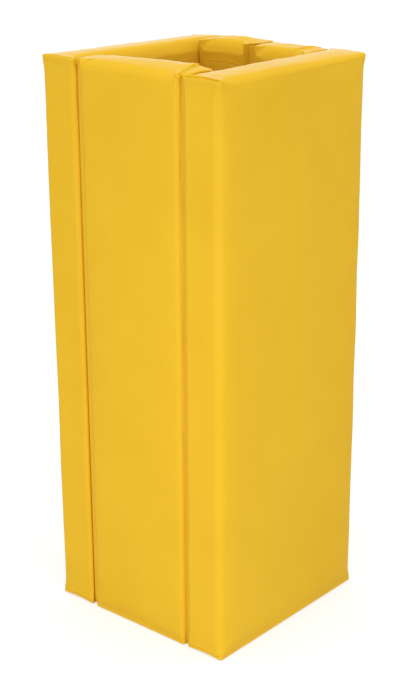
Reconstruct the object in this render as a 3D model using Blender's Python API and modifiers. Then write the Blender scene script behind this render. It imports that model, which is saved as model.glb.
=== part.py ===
"""Square column pad.

Five vinyl-covered foam panels stand round a square column. Vinyl webs, sunk in grooves at
the four corners, hinge each panel to the next. The rear side is two half panels, which meet
in the middle and are held by a closing strip with hook-and-loop tape.

Front is -Y, up is +Z, and the origin is the centre of the floor under the pad.
"""

import math
from collections import namedtuple

import bmesh
import bpy
from mathutils import Vector

# Overall sizes
COLUMN_SIDE = 0.254
PANEL_THICKNESS = 0.0762
PAD_HEIGHT = 1.0668

# Padded form: outer face and top are crowned, long edges are soft
FACE_CROWN = 0.0022
TOP_CROWN = 0.0015
SOFT_RADIUS = 0.018
INNER_RADIUS = 0.007
GROOVE_EDGE_RADIUS = 0.005
LEAST_RADIUS = 0.0012
FLOOR_CUT = 0.0005

# Vinyl
COVER_THICKNESS = 0.0009
LINING_THICKNESS = 0.0009
WEB_THICKNESS = 0.0009
STRIP_THICKNESS = 0.0009
LINING_MARGIN = 0.011
LINING_END_MARGIN = 0.036
LINING_LAP = 0.012
LINING_CORNER_RADIUS = 0.008

# Corner grooves and their webs
BUTT_GAP = 0.0025
GROOVE_WIDTH = 0.013
WEB_DEPTH = 0.008
WEB_LEG = 0.014
WEB_SIDE_CLEARANCE = 0.0015
WEB_END_MARGIN = 0.009
SEAM_RADIUS = 0.0015
PIVOT_DEPTH = 0.0045

# Closure at the middle of the rear side
CLOSURE_GAP = 0.003
SWING_CLEARANCE = 0.001
STRIP_RECESS = 0.0085
STRIP_END_MARGIN = 0.009
TAPE_WIDTH = 0.010
TAPE_THICKNESS = 0.0012
TAPE_END_MARGIN = 0.020

# Clearance between touching pieces
FIT_GAP = 0.0003

# Facets round each kind of corner
SOFT_STEPS = 3
INNER_STEPS = 2
GROOVE_STEPS = 2
SEAM_STEPS = 1
RIM_STEPS = 3
LINING_CORNER_STEPS = 3
ROUND_PROFILE = 0.5
SHARP_ANGLE = math.radians(32)
FLAT_TOLERANCE = 0.0001

# Shape of a crown, as shares of the face that it covers
CROWN_POWER = 8
CROWN_STOPS = (0.16, 0.5, 0.84)
CAP_SHARE = 0.3
RIM_SHARE = 0.3

# Planes, measured from the pad's centre
OUTER_FACE = COLUMN_SIDE / 2 + PANEL_THICKNESS
FORM_DEPTH = PANEL_THICKNESS - LINING_THICKNESS - FIT_GAP
COVER_INNER_FACE = OUTER_FACE - FORM_DEPTH

# Groove: a panel that butts against its neighbour has its outer corner cut back for the web
REBATE_WIDTH = GROOVE_WIDTH - BUTT_GAP
REBATE_DEPTH = WEB_DEPTH + WEB_THICKNESS + FIT_GAP
PIVOT_REACH = COVER_INNER_FACE - GROOVE_WIDTH / 2
PIVOT_PLANE = OUTER_FACE - PIVOT_DEPTH

# Panel widths
SIDE_WIDTH = 2 * OUTER_FACE
FRONT_WIDTH = 2 * (COVER_INNER_FACE - BUTT_GAP)
LEAF_WIDTH = COVER_INNER_FACE - BUTT_GAP - CLOSURE_GAP / 2

# The rim's radius is limited by the panel that it rounds
RIM_RADIUS = min(SOFT_RADIUS, RIM_SHARE * FORM_DEPTH)

# Free end of a rear half panel. It stands out to a nose, and both ways from there it is drawn
# in: inwards to stay in the circle that the nose swings on, and outwards to leave room for
# the other half's circle, which it touches, but for the clearance.
SWING_RADIUS = COVER_INNER_FACE - SWING_CLEARANCE
NOSE_REACH = PIVOT_REACH - CLOSURE_GAP / 2
NOSE_FROM_PIVOT = math.sqrt(SWING_RADIUS**2 - NOSE_REACH**2)
NOSE_DEPTH = PIVOT_DEPTH + NOSE_FROM_PIVOT
OTHER_REACH = PIVOT_REACH + CLOSURE_GAP / 2
TO_OTHER_PIVOT = math.hypot(OTHER_REACH, NOSE_FROM_PIVOT)
NOSE_BEARING = math.asin(NOSE_FROM_PIVOT / TO_OTHER_PIVOT)
MOUTH_LEAN = NOSE_BEARING - math.acos((SWING_RADIUS + SWING_CLEARANCE) / TO_OTHER_PIVOT)
MOUTH_RUN = NOSE_DEPTH * math.tan(MOUTH_LEAN)
INNER_REACH = math.sqrt(SWING_RADIUS**2 - (FORM_DEPTH - PIVOT_DEPTH) ** 2)
SLOPE_RUN = NOSE_REACH - INNER_REACH
SLOPE_DEPTH = FORM_DEPTH - NOSE_DEPTH

VINYL_YELLOW = (0.83, 0.50, 0.035, 1.0)
FOAM_CREAM = (0.80, 0.76, 0.62, 1.0)
TAPE_BLACK = (0.03, 0.03, 0.03, 1.0)

Corner = namedtuple("Corner", "u v radius steps turns_in stops", defaults=(False, ()))
Panel = namedtuple("Panel", "name corners origin angle lining parent")
Span = namedtuple("Span", "low high")


def clear_scene():
    for obj in list(bpy.data.objects):
        bpy.data.objects.remove(obj, do_unlink=True)


def make_collection(name):
    collection = bpy.data.collections.new(name)
    bpy.context.scene.collection.children.link(collection)
    return collection


def make_material(name, colour, roughness, metallic=0.0):
    material = bpy.data.materials.new(name)
    material.use_nodes = True
    shader = material.node_tree.nodes["Principled BSDF"]
    shader.inputs["Base Color"].default_value = colour
    shader.inputs["Roughness"].default_value = roughness
    shader.inputs["Metallic"].default_value = metallic
    material.diffuse_color = colour
    return material


def world_location(obj):
    total = Vector((0, 0, 0))
    while obj:
        total += obj.location
        obj = obj.parent
    return total


def add_axis(name, collection, location, parent=None):
    """An empty on a hinge axis. What turns there is parented to it."""
    axis = bpy.data.objects.new(name, None)
    axis.empty_display_type = "SINGLE_ARROW"
    axis.empty_display_size = PANEL_THICKNESS
    collection.objects.link(axis)
    axis.parent = parent
    axis.location = Vector(location) - world_location(parent)
    return axis


def add_object(name, bm, collection, material, parent, location, angle=0.0):
    """Make an object whose mesh is bm, placed in the world at location and held by parent."""
    bmesh.ops.recalc_face_normals(bm, faces=bm.faces)
    mesh = bpy.data.meshes.new(name)
    bm.to_mesh(mesh)
    bm.free()
    mesh.shade_smooth()
    mesh.set_sharp_from_angle(angle=SHARP_ANGLE)
    obj = bpy.data.objects.new(name, mesh)
    obj.data.materials.append(material)
    collection.objects.link(obj)
    obj.parent = parent
    obj.location = Vector(location) - world_location(parent)
    obj.rotation_euler.z = angle
    return obj


# Padded forms. A panel's plan outline has u along its width and v from its outer face
# inwards. Each corner is rounded, and the side that follows a corner may have stops.


def unit(vector):
    return vector / vector.length


def turned(vector, angle):
    """The vector turned anticlockwise by an angle."""
    cos, sin = math.cos(angle), math.sin(angle)
    return Vector((vector.x * cos - vector.y * sin, vector.x * sin + vector.y * cos))


def corner_arc(corners, index, inset):
    """Points of one rounded corner of the outline, after each side has moved in by inset."""
    corner = corners[index]
    here = Vector((corner.u, corner.v))
    before = corners[index - 1]
    after = corners[(index + 1) % len(corners)]
    way_in = unit(here - Vector((before.u, before.v)))
    way_out = unit(Vector((after.u, after.v)) - here)
    normal_in = Vector((-way_in.y, way_in.x))
    normal_out = Vector((-way_out.y, way_out.x))
    tip = here + inset * (normal_in + normal_out) / (1 + normal_in.dot(normal_out))
    side = -1 if corner.turns_in else 1
    radius = corner.radius if corner.turns_in else max(corner.radius - inset, LEAST_RADIUS)
    turn = way_in.angle(way_out)
    start = tip - way_in * radius * math.tan(turn / 2)
    centre = start + side * normal_in * radius
    angles = [side * turn * step / corner.steps for step in range(corner.steps + 1)]
    return [centre + turned(start - centre, angle) for angle in angles]


def outline(corners, inset):
    """The plan outline, anticlockwise. Stops on a side keep their share of its length."""
    arcs = [corner_arc(corners, i, inset) for i in range(len(corners))]
    nominal = [corner_arc(corners, i, 0.0) for i in range(len(corners))]
    points = []
    for i, corner in enumerate(corners):
        following = (i + 1) % len(corners)
        points += arcs[i]
        start, end = arcs[i][-1], arcs[following][0]
        from_u, to_u = nominal[i][-1].x, nominal[following][0].x
        for stop in corner.stops:
            points.append(start.lerp(end, (stop - from_u) / (to_u - from_u)))
    return points


def levels(inset, open_span):
    """(inset, z) of each ring from the floor to the top, of a form drawn in by inset."""
    radius = RIM_RADIUS - inset
    low_centre = RIM_RADIUS - FLOOR_CUT
    high_centre = PAD_HEIGHT - TOP_CROWN - RIM_RADIUS
    first_angle = math.asin(min((low_centre - inset) / radius, 1.0))
    rings = []
    for step in range(RIM_STEPS, -1, -1):
        angle = first_angle * step / RIM_STEPS
        drawn_in = inset + radius * (1 - math.cos(angle))
        rings.append((drawn_in, low_centre - radius * math.sin(angle)))
    rings += [(inset, z) for z in (open_span.low, PAD_HEIGHT / 2, open_span.high)]
    for step in range(RIM_STEPS + 1):
        angle = math.pi / 2 * step / RIM_STEPS
        drawn_in = inset + radius * (1 - math.cos(angle))
        rings.append((drawn_in, high_centre + radius * math.sin(angle)))
    cap_inset = RIM_RADIUS + CAP_SHARE * (FORM_DEPTH / 2 - RIM_RADIUS)
    rings.append((cap_inset, PAD_HEIGHT - inset))
    return rings


def crown(share):
    """0 at both ends of a face, close to 1 over most of it."""
    return 1 - (2 * min(max(share, 0.0), 1.0) - 1) ** CROWN_POWER


def padded_form(corners, inset, open_span):
    """A closed padded body: rings of the outline, lofted from the floor to the top."""
    bm = bmesh.new()
    face_start = corner_arc(corners, 0, 0.0)[-1].x
    face_end = corner_arc(corners, 1, 0.0)[0].x
    below = None
    for drawn_in, z in levels(inset, open_span):
        ring = []
        for point in outline(corners, drawn_in):
            lift = 0.0
            if point.y < inset + FLAT_TOLERANCE:
                along = (point.x - face_start) / (face_end - face_start)
                lift = FACE_CROWN * crown(along) * crown(z / PAD_HEIGHT)
            ring.append(bm.verts.new((point.x, point.y - lift, z)))
        if below:
            for i, vert in enumerate(ring):
                bm.faces.new((below[i - 1], below[i], vert, ring[i - 1]))
        else:
            bm.faces.new(ring)
        below = ring
    bm.faces.new(below)
    bmesh.ops.recalc_face_normals(bm, faces=bm.faces)
    return bm


def open_inner_face(bm, lining, open_span):
    """Take out the part of the inner face that the lining covers."""
    low_u, high_u = lining.low + LINING_LAP, lining.high - LINING_LAP
    doomed = []
    for face in bm.faces:
        middle = face.calc_center_median()
        flat = all(abs(v.co.y - FORM_DEPTH) < FLAT_TOLERANCE for v in face.verts)
        inside_u = low_u < middle.x < high_u
        inside_z = open_span.low < middle.z < open_span.high
        if flat and inside_u and inside_z:
            doomed.append(face)
    bmesh.ops.delete(bm, geom=doomed, context="FACES")


def add_foam_core(panel, open_span, collection, material):
    bm = padded_form(panel.corners, COVER_THICKNESS + FIT_GAP, open_span)
    name = panel.name + "_foam_core"
    add_object(name, bm, collection, material, panel.parent, panel.origin, panel.angle)


def add_cover(panel, open_span, collection, material):
    """The vinyl round the foam, open on the column's side inside the lining's edge."""
    bm = padded_form(panel.corners, 0.0, open_span)
    open_inner_face(bm, panel.lining, open_span)
    name = panel.name + "_cover"
    cover = add_object(
        name, bm, collection, material, panel.parent, panel.origin, panel.angle
    )
    solidify = cover.modifiers.new("vinyl", "SOLIDIFY")
    solidify.thickness = COVER_THICKNESS
    solidify.offset = -1
    solidify.use_even_offset = True


def add_lining(panel, rise, collection, material):
    """The flat vinyl sheet on the column's side, lapped over the cover's turned-in edge."""
    bm = bmesh.new()
    bmesh.ops.create_cube(bm, size=1.0)
    size = (panel.lining.high - panel.lining.low, LINING_THICKNESS, rise.high - rise.low)
    middle = (
        (panel.lining.low + panel.lining.high) / 2,
        FORM_DEPTH + FIT_GAP + LINING_THICKNESS / 2,
        (rise.low + rise.high) / 2,
    )
    bmesh.ops.scale(bm, vec=size, verts=bm.verts)
    bmesh.ops.translate(bm, vec=middle, verts=bm.verts)
    corners = [e for e in bm.edges if abs(e.verts[0].co.y - e.verts[1].co.y) > FIT_GAP]
    bmesh.ops.bevel(
        bm,
        geom=corners,
        offset=LINING_CORNER_RADIUS,
        offset_type="OFFSET",
        affect="EDGES",
        segments=LINING_CORNER_STEPS,
        profile=ROUND_PROFILE,
    )
    name = panel.name + "_lining"
    add_object(name, bm, collection, material, panel.parent, panel.origin, panel.angle)


# Panel outlines. An end is its corners from the outer face to the inner face, at u = 0.


def square_end():
    """A side panel's end, with the full soft edge that shows at a corner of the pad."""
    return [
        Corner(0, 0, RIM_RADIUS, SOFT_STEPS),
        Corner(0, FORM_DEPTH, GROOVE_EDGE_RADIUS, GROOVE_STEPS),
    ]


def rebated_end():
    """The end of a panel that butts against a side panel, cut back to make the groove."""
    return [
        Corner(REBATE_WIDTH, 0, GROOVE_EDGE_RADIUS, GROOVE_STEPS),
        Corner(REBATE_WIDTH, REBATE_DEPTH, SEAM_RADIUS, SEAM_STEPS, True),
        Corner(0, REBATE_DEPTH, SEAM_RADIUS, SEAM_STEPS),
        Corner(0, FORM_DEPTH, INNER_RADIUS, INNER_STEPS),
    ]


def free_end():
    """The end of a rear half panel that meets the other half, drawn in on both sides."""
    return [
        Corner(MOUTH_RUN, 0, GROOVE_EDGE_RADIUS, GROOVE_STEPS),
        Corner(0, NOSE_DEPTH, SOFT_RADIUS, INNER_STEPS),
        Corner(SLOPE_RUN, FORM_DEPTH, INNER_RADIUS, INNER_STEPS),
    ]


def panel_corners(near_end, far_end, width, lining):
    """The outline of a panel, from its outer face, with stops for the crown and the opening."""
    far_end = [corner._replace(u=width - corner.u) for corner in far_end]
    face_start, face_end = near_end[0].u, far_end[0].u
    face_stops = [face_start + share * (face_end - face_start) for share in CROWN_STOPS]
    open_stops = (lining.high - LINING_LAP, lining.low + LINING_LAP)
    first = near_end[0]._replace(stops=face_stops)
    inner = far_end[-1]._replace(stops=open_stops)
    return [first, *far_end[:-1], inner, *near_end[:0:-1]]


# Strips: webs, tapes and the closing strip, drawn in plan and extruded upwards


def band(path, thickness):
    """The plan outline of a strip of one thickness, on the left of a path."""
    ways = [unit(path[i + 1] - path[i]) for i in range(len(path) - 1)]
    normals = [Vector((-way.y, way.x)) for way in ways]
    shifted = [path[0] + normals[0] * thickness]
    for i in range(1, len(path) - 1):
        mitre = (normals[i - 1] + normals[i]) / (1 + normals[i - 1].dot(normals[i]))
        shifted.append(path[i] + mitre * thickness)
    shifted.append(path[-1] + normals[-1] * thickness)
    return list(path) + shifted[::-1]


def add_strip(name, points, end_margin, parent, collection, material):
    """A prism on a plan outline, the pad's height less a margin at each end."""
    axis = world_location(parent)
    bm = bmesh.new()
    base = [bm.verts.new((p.x - axis.x, p.y - axis.y, end_margin)) for p in points]
    made = bmesh.ops.extrude_face_region(bm, geom=[bm.faces.new(base)])["geom"]
    moved = [item for item in made if isinstance(item, bmesh.types.BMVert)]
    bmesh.ops.translate(bm, vec=(0, 0, PAD_HEIGHT - 2 * end_margin), verts=moved)
    add_object(name, bm, collection, material, parent, axis)


def add_web(name, x_side, y_side, parent, collection, material):
    """A corner web: its floor lies in the groove, its leg follows the side panel inwards."""
    wall = COVER_INNER_FACE - FIT_GAP
    far = COVER_INNER_FACE - GROOVE_WIDTH + WEB_SIDE_CLEARANCE
    top = OUTER_FACE - WEB_DEPTH
    leg_end = top - WEB_THICKNESS - WEB_LEG
    path = [Vector((wall, leg_end)), Vector((wall, top)), Vector((far, top))]
    points = [Vector((p.x * x_side, p.y * y_side)) for p in band(path, WEB_THICKNESS)]
    add_strip(name, points, WEB_END_MARGIN, parent, collection, material)


def slope_point(depth, off):
    """A point beside the inner slope of the right half's free end, off metres clear of it."""
    x = CLOSURE_GAP / 2 + SLOPE_RUN * (1 - depth / SLOPE_DEPTH)
    slope = unit(Vector((-SLOPE_RUN, SLOPE_DEPTH)))
    return Vector((x, COVER_INNER_FACE + depth)) + off * Vector((-slope.y, slope.x))


def mirrored(point):
    return Vector((-point.x, point.y))


def add_closure(left_parent, right_parent, collection, vinyl, tape):
    """The closing strip is sewn to the left half's end. Its other leg carries the hooks."""
    slope_length = math.hypot(SLOPE_RUN, SLOPE_DEPTH)
    deep = STRIP_RECESS + TAPE_WIDTH * SLOPE_DEPTH / slope_length
    hook_off = FIT_GAP + TAPE_THICKNESS + FIT_GAP
    strip_off = hook_off + TAPE_THICKNESS + FIT_GAP
    tapes = (("loop_tape", FIT_GAP, right_parent), ("hook_tape", hook_off, left_parent))
    for name, off, parent in tapes:
        path = [slope_point(STRIP_RECESS, off), slope_point(deep, off)]
        points = band(path, TAPE_THICKNESS)
        add_strip(name, points, TAPE_END_MARGIN, parent, collection, tape)
    path = [
        mirrored(slope_point(deep, FIT_GAP)),
        mirrored(slope_point(STRIP_RECESS, FIT_GAP)),
        slope_point(STRIP_RECESS, strip_off),
        slope_point(deep, strip_off),
    ]
    points = band(path, STRIP_THICKNESS)
    add_strip("closing_strip", points, STRIP_END_MARGIN, left_parent, collection, vinyl)


def build():
    clear_scene()
    pad = make_collection("column_pad")
    vinyl = make_material("yellow_vinyl", VINYL_YELLOW, 0.38)
    foam = make_material("cream_foam", FOAM_CREAM, 0.95)
    tape = make_material("black_hook_and_loop", TAPE_BLACK, 0.9)

    root = add_axis("front_panel", pad, (0, 0, 0))
    left = add_axis("left_hinge", pad, (-PIVOT_REACH, -PIVOT_PLANE, 0), root)
    right = add_axis("right_hinge", pad, (PIVOT_REACH, -PIVOT_PLANE, 0), root)
    rear_left = add_axis("rear_left_hinge", pad, (-PIVOT_REACH, PIVOT_PLANE, 0), left)
    rear_right = add_axis("rear_right_hinge", pad, (PIVOT_REACH, PIVOT_PLANE, 0), right)

    # Linings keep a margin from the faces that they meet in the corners
    butt_bare = LINING_MARGIN + COVER_INNER_FACE - BUTT_GAP - COLUMN_SIDE / 2
    side_bare = LINING_MARGIN + PANEL_THICKNESS
    front_lining = Span(butt_bare, FRONT_WIDTH - butt_bare)
    side_lining = Span(side_bare, SIDE_WIDTH - side_bare)
    leaf_lining = Span(butt_bare, LEAF_WIDTH - SLOPE_RUN - LINING_MARGIN)
    far_lining = Span(LEAF_WIDTH - leaf_lining.high, LEAF_WIDTH - leaf_lining.low)
    rise = Span(LINING_END_MARGIN, PAD_HEIGHT - LINING_END_MARGIN)
    open_span = Span(rise.low + LINING_LAP, rise.high - LINING_LAP)

    square, rebated, free = square_end(), rebated_end(), free_end()
    front_outline = panel_corners(rebated, rebated, FRONT_WIDTH, front_lining)
    side_outline = panel_corners(square, square, SIDE_WIDTH, side_lining)
    rear_left_outline = panel_corners(free, rebated, LEAF_WIDTH, far_lining)
    rear_right_outline = panel_corners(rebated, free, LEAF_WIDTH, leaf_lining)

    front_origin = (-FRONT_WIDTH / 2, -OUTER_FACE, 0)
    left_origin = (-OUTER_FACE, OUTER_FACE, 0)
    right_origin = (OUTER_FACE, -OUTER_FACE, 0)
    rear_left_origin = (-CLOSURE_GAP / 2, OUTER_FACE, 0)
    rear_right_origin = (CLOSURE_GAP / 2 + LEAF_WIDTH, OUTER_FACE, 0)
    quarter = math.pi / 2
    half = math.pi
    panels = (
        Panel("front", front_outline, front_origin, 0, front_lining, root),
        Panel("left", side_outline, left_origin, -quarter, side_lining, left),
        Panel("right", side_outline, right_origin, quarter, side_lining, right),
        Panel("rear_left", rear_left_outline, rear_left_origin, half, far_lining, rear_left),
        Panel("rear_right", rear_right_outline, rear_right_origin, half, leaf_lining, rear_right),
    )
    for panel in panels:
        add_foam_core(panel, open_span, pad, foam)
        add_cover(panel, open_span, pad, vinyl)
        add_lining(panel, rise, pad, vinyl)

    add_web("front_left_web", -1, -1, left, pad, vinyl)
    add_web("front_right_web", 1, -1, right, pad, vinyl)
    add_web("rear_left_web", -1, 1, rear_left, pad, vinyl)
    add_web("rear_right_web", 1, 1, rear_right, pad, vinyl)
    add_closure(rear_left, rear_right, pad, vinyl, tape)


build()
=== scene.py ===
"""Looks of the column pad: cushions, hinge webs, linings, closure, materials, light, camera.

Metres, in the CAD's frame: Z up, the unbroken side at -Y and the split side at +Y.
"""

import math
from collections import namedtuple

import bmesh
import bpy
import numpy as np
from mathutils import Matrix, Vector
from mathutils.kdtree import KDTree


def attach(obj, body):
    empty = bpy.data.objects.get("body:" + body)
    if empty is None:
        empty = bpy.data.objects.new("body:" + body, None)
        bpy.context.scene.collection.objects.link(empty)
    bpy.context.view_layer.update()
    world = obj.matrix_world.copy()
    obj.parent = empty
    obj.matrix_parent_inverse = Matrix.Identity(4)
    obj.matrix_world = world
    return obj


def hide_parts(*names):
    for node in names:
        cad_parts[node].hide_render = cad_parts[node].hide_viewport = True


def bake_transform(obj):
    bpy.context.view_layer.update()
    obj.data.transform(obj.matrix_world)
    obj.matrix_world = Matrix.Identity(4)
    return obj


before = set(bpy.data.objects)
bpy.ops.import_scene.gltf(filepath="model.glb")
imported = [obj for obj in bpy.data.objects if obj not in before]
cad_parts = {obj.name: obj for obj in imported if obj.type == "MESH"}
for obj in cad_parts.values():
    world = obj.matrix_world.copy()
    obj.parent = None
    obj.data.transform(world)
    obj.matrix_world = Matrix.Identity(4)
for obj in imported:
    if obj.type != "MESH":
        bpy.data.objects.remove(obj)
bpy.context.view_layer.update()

QUARTER_TURN, HALF_TURN = math.pi / 2, math.pi
FAR_AWAY = 9.0
TINY = 1e-9

# The pad's planes, as in the CAD

COLUMN_SIDE = 0.254
PAD_HEIGHT = 1.0668
SIDE_WIDTH = 0.4064
COVER_INNER_FACE = 0.1282
BUTT_GAP = 0.0025
CLOSURE_GAP = 0.003
REBATE_WIDTH = 0.0130
REBATE_DEPTH = 0.0092
NOSE_DEPTH = 0.0461
CAD_SLOPE = 0.0143

OUTER_FACE = SIDE_WIDTH / 2
FOAM_DEPTH = OUTER_FACE - COLUMN_SIDE / 2
FORM_DEPTH = OUTER_FACE - COVER_INNER_FACE
FRONT_WIDTH = 2 * (COVER_INNER_FACE - BUTT_GAP)
LEAF_START = CLOSURE_GAP / 2
LEAF_WIDTH = FRONT_WIDTH / 2 - LEAF_START


# Steps and blends


GROWTH = 1.17


def graded(length, fine, coarse):
    """Shares of a length, with fine steps at both ends that grow to coarse ones."""
    steps, reach, step = [], 0.0, fine
    while reach + step < length / 2:
        reach += step
        steps.append(reach)
        step = min(step * GROWTH, coarse)
    scale = length / 2 / (reach + step / 2) if steps else 1.0
    low = [s * scale / length for s in steps]
    return low + [1 - s for s in reversed(low)]


def smooth(x, low, high):
    """0 below low, 1 above high, and an even S between them."""
    t = np.clip((x - low) / (high - low), 0.0, 1.0)
    return t * t * (3 - 2 * t)


def bell(x, width):
    """1 where x is 0, and near 0 some widths away."""
    return np.exp(-((x / width) ** 2))


def unit(vectors):
    return vectors / np.linalg.norm(vectors, axis=-1, keepdims=True)


def left_of(ways):
    return np.stack([-ways[:, 1], ways[:, 0]], axis=1)


# Plan outlines: u runs along a panel's width, v from its outer face inwards


Corner = namedtuple("Corner", "u v radius steps turns_in", defaults=(False,))
FRONT_ROUND, SIDE_ROUND = 0.016, 0.009
BACK_ROUND, LEFT_BACK_ROUND = 0.006, 0.0085
REBATE_ROUND, REBATE_SEAM_ROUND, REBATE_BACK_ROUND = 0.0062, 0.0015, 0.0038
FREE_ROUND, NOSE_ROUND, FREE_BACK_ROUND = 0.0050, 0.018, 0.0034
LEFT_HALF, RIGHT_HALF = -1, 1
SLOPES = {LEFT_HALF: 0.0145, RIGHT_HALF: 0.0040}


def square_end(radius, back_radius=BACK_ROUND):
    return [Corner(0, 0, radius, 10), Corner(0, FORM_DEPTH, back_radius, 6)]


def rebated_end():
    return [
        Corner(REBATE_WIDTH, 0, REBATE_ROUND, 8),
        Corner(REBATE_WIDTH, REBATE_DEPTH, REBATE_SEAM_ROUND, 2, True),
        Corner(0, REBATE_DEPTH, REBATE_SEAM_ROUND, 2),
        Corner(0, FORM_DEPTH, REBATE_BACK_ROUND, 5),
    ]


def free_end(half):
    """The end beside the closure: a nose, and a slope that the strip and tapes are sewn to."""
    return [
        Corner(FREE_ROUND, 0, FREE_ROUND, 6),
        Corner(0, NOSE_DEPTH, NOSE_ROUND, 6),
        Corner(SLOPES[half], FORM_DEPTH, FREE_BACK_ROUND, 5),
    ]


def panel_corners(near_end, far_end, width):
    far_end = [corner._replace(u=width - corner.u) for corner in far_end]
    return [near_end[0], *far_end, *near_end[:0:-1]]


class Outline:
    """Points round a plan outline, which can move inwards and have their corners sharpened."""

    LEAST_RADIUS = 0.0010
    LONG_STEP, SHORT_STEP = 0.009, 0.0024
    SPINE_INSET = 0.034

    def __init__(self, corners, width):
        self.width = width
        self.here = np.array([(c.u, c.v) for c in corners])
        self.way_in = unit(self.here - np.roll(self.here, 1, axis=0))
        self.normal_in = left_of(self.way_in)
        normal_out = np.roll(self.normal_in, -1, axis=0)
        dot = (self.normal_in * normal_out).sum(axis=1)
        self.mitre = (self.normal_in + normal_out) / (1 + dot)[:, None]
        self.turn = np.arccos(np.clip(dot, -1, 1))
        self.side = np.array([-1.0 if c.turns_in else 1.0 for c in corners])
        self.radius = np.array([c.radius for c in corners])
        self.inner = next(i for i, c in enumerate(corners) if c.v == FORM_DEPTH)
        self.spread(corners)
        self.even_out()
        self.count = len(self.index)
        self.flat = self.at()
        self.place()

    def spread(self, corners):
        """Each point's corner, and its share of that corner's arc or of the side after it."""
        rows = []
        for i, corner in enumerate(corners):
            rows += [(i, step / corner.steps, True) for step in range(corner.steps + 1)]
            rows += [(i, share, False) for share in self.side_shares(i)]
        self.index, self.share, self.on_arc = (np.array(column) for column in zip(*rows))

    def side_shares(self, i):
        length = np.linalg.norm(self.here[(i + 1) % len(self.here)] - self.here[i])
        if i in (0, self.inner):
            return graded(length, self.SHORT_STEP, self.LONG_STEP)
        steps = max(int(round(length / self.SHORT_STEP)), 1)
        return [k / steps for k in range(1, steps)]

    def even_out(self):
        """Give the inner long side as many points as make both halves of the outline match."""
        outer_half = self.at()[:, 1] < FORM_DEPTH / 2
        long_inner = (self.index == self.inner) & ~self.on_arc
        wanted = int(outer_half.sum() - (~outer_half & ~long_inner).sum())
        first, had = int(np.argmax(long_inner)), int(long_inner.sum())
        old = np.concatenate([[0], self.share[long_inner], [1]])
        shares = np.interp(np.linspace(0, 1, wanted + 2), np.linspace(0, 1, had + 2), old)[1:-1]

        def refilled(values, middle):
            return np.concatenate([values[:first], middle, values[first + had :]])

        self.index = refilled(self.index, np.full(wanted, self.inner))
        self.share = refilled(self.share, shares)
        self.on_arc = refilled(self.on_arc, np.full(wanted, False))

    def arc_point(self, c, share, inset, sharp):
        """The points that are a share of the way round the arcs of the corners c."""
        r = np.maximum(self.radius[c] * sharp - inset, self.LEAST_RADIUS)
        r = np.where(self.side[c] < 0, self.radius[c], r)
        tip = self.here[c] + inset[:, None] * self.mitre[c]
        start = tip - self.way_in[c] * (r * np.tan(self.turn[c] / 2))[:, None]
        angle = (self.turn[c] * share)[:, None]
        inwards = self.side[c][:, None] * self.normal_in[c] * (1 - np.cos(angle))
        return start + r[:, None] * (self.way_in[c] * np.sin(angle) + inwards)

    def at(self, inset=0.0, sharp=1.0):
        """The points after each has moved in by its inset, corner radii scaled by sharp."""
        here, after = self.index, (self.index + 1) % len(self.here)
        inset = inset + np.zeros(len(here))
        arc = self.arc_point(here, self.share, inset, sharp)
        begin = self.arc_point(here, 1.0, inset, sharp)
        end = self.arc_point(after, 0.0, inset, sharp)
        side = begin + (end - begin) * self.share[:, None]
        return np.where(self.on_arc[:, None], arc, side)

    def place(self):
        """Find how far each point is round both ends, and its foot on the spine of the caps."""
        u, v = self.flat[:, 0], self.flat[:, 1]
        self.outer = (self.index == 0) & ~self.on_arc
        self.inner_side = (self.index == self.inner) & ~self.on_arc
        rounds = []
        for along in (u, self.width - u):
            at_end = np.where(along < self.width / 2, v, FAR_AWAY)
            inside = np.where(self.inner_side, FORM_DEPTH + along, at_end)
            rounds.append(np.where(self.outer, -along, inside))
        self.near, self.far = rounds
        low, high = self.SPINE_INSET, self.width - self.SPINE_INSET
        clear = (u > low + self.SHORT_STEP) & (u < high - self.SHORT_STEP)
        self.spine = np.concatenate([[low], u[self.outer & clear], [high]])
        self.foot = np.abs(u[:, None] - self.spine).argmin(axis=1)


# Cushions' surfaces: walls with rounded rims, closed by caps that run in to a spine


# (along, down) half-widths of the rounding at a cushion's top. The outer rim runs from its near
# to its far size, and fades to the end rim over a length.
Rims = namedtuple("Rims", "near far near_fade far_fade inner")
PLUMP, FLAT = (0.021, 0.0340), (0.011, 0.0080)
WIDE, NARROW, MIDDLE = (0.021, 0.0160), (0.010, 0.0058), (0.018, 0.0120)
RIMS = {
    "front": Rims((0.020, 0.0145), (0.020, 0.0150), 0.020, 0.020, FLAT),
    "left": Rims(MIDDLE, MIDDLE, 0.035, 0.035, PLUMP),
    "right": Rims(WIDE, NARROW, 0.050, 0.030, FLAT),
    "rear_left": Rims(MIDDLE, MIDDLE, 0.016, 0.020, PLUMP),
    "rear_right": Rims(MIDDLE, MIDDLE, 0.020, 0.016, PLUMP),
}
END_RIM, LOW_RIM = (0.0038, 0.0030), (0.0032, 0.0024)
INNER_FADE = 0.010
FADE_START = 0.05
TOP_RINGS, LOW_RINGS, CAP_RINGS = 18, 8, 15
WALL_FINE, WALL_COARSE = 0.0010, 0.013

START_INSET = -0.0010
FORM_TOP = PAD_HEIGHT - 0.0010
SHARP_REACH, SHARP_LEAST = 0.036, 0.28

TOP_BLEND = 0.012
TOP_CROWN, CROWN_AT_END, CROWN_REACH = 0.0028, 0.4, 0.05
TOP_TILTS = {"front": 0.0065}
TILT_ACROSS, NEAR_TILT, FAR_TILT = (0.05, 0.80), (0.030, 0.170), (-0.015, 0.034)

# How far each point of a cushion is round its near and far end, and past its wall's upper and
# lower end: below 0 on the wall, then over the rim, then across the cap
Surface = namedtuple("Surface", "near far up down")


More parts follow.
